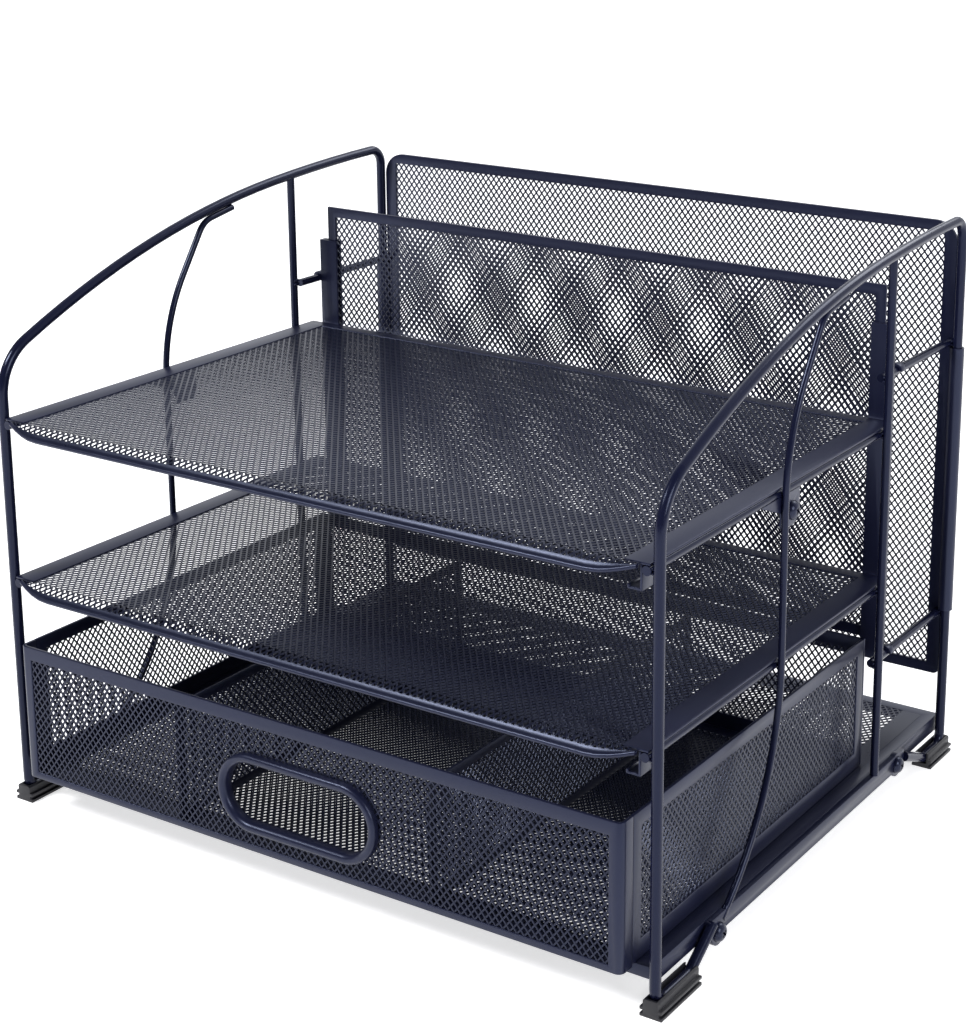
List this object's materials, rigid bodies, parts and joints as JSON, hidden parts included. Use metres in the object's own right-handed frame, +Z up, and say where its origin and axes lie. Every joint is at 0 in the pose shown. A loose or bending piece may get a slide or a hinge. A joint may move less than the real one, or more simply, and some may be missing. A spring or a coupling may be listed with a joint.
{
  "type": "envelope sorter with drawer",
  "caption": "Black wire and mesh desk organizer: stacked letter trays in bent-wire side frames, an upright file slot behind them and a sliding mesh drawer below.",
  "frame": {"origin": "on the desk, in the middle of the footprint", "axes": "+X to the right seen from the drawer's front, +Y from the drawer's front to the back, +Z up"},
  "size_m": [0.3398, 0.2778, 0.2623],
  "materials": {
    "wire": "satin black powder coat on round wire",
    "sheet": "satin black powder coat on folded sheet",
    "mesh": "satin black powder coat on expanded metal",
    "foot": "matt black moulded plastic",
    "screw": "black dome-head screw",
    "nut": "plain dark steel nut"
  },
  "bodies": {
    "frame": {"base_mesh": "mesh", "base_nuts": "nut", "base_rim": "sheet", "base_screws": "screw", "divider_border": "sheet", "divider_mesh": "mesh", "front_left_foot": "foot", "front_right_foot": "foot", "left_base_bar": "sheet", "left_divider_channel": "sheet", "left_lower_tray_rail": "wire", "left_outer_wire": "wire", "left_rear_lower_rail": "wire", "left_rear_sleeve": "sheet", "left_rear_upper_rail": "wire", "left_stay_wire": "wire", "left_tray_ear": "sheet", "left_upper_tray_rail": "wire", "left_upright_wire": "wire", "lower_tray_front_mesh": "mesh", "lower_tray_hooks": "sheet", "lower_tray_mesh": "mesh", "lower_tray_rim": "sheet", "lower_tray_rolled_edge": "sheet", "rear_left_foot": "foot", "rear_panel_border": "sheet", "rear_panel_mesh": "mesh", "rear_right_foot": "foot", "right_base_bar": "sheet", "right_divider_channel": "sheet", "right_lower_tray_rail": "wire", "right_outer_wire": "wire", "right_rear_lower_rail": "wire", "right_rear_sleeve": "sheet", "right_rear_upper_rail": "wire", "right_stay_wire": "wire", "right_tray_ear": "sheet", "right_upper_tray_rail": "wire", "right_upright_wire": "wire", "tray_nuts": "nut", "tray_screws": "screw", "upper_tray_front_mesh": "mesh", "upper_tray_hooks": "sheet", "upper_tray_mesh": "mesh", "upper_tray_rim": "sheet", "upper_tray_rolled_edge": "sheet"},
    "drawer": {"drawer_back": "sheet", "drawer_back_mesh": "mesh", "drawer_floor_frame": "sheet", "drawer_floor_mesh": "mesh", "drawer_front_frame": "sheet", "drawer_front_mesh": "mesh", "drawer_handle_ring": "sheet", "drawer_left_partition": "mesh", "drawer_left_side": "sheet", "drawer_left_side_mesh": "mesh", "drawer_right_partition": "mesh", "drawer_right_side": "sheet", "drawer_right_side_mesh": "mesh"}
  },
  "joints": [
    {"name": "drawer_slide", "type": "slide", "parent": "frame", "child": "drawer", "axis": [0, -1, 0], "range_m": [0, 0.17]}
  ]
}
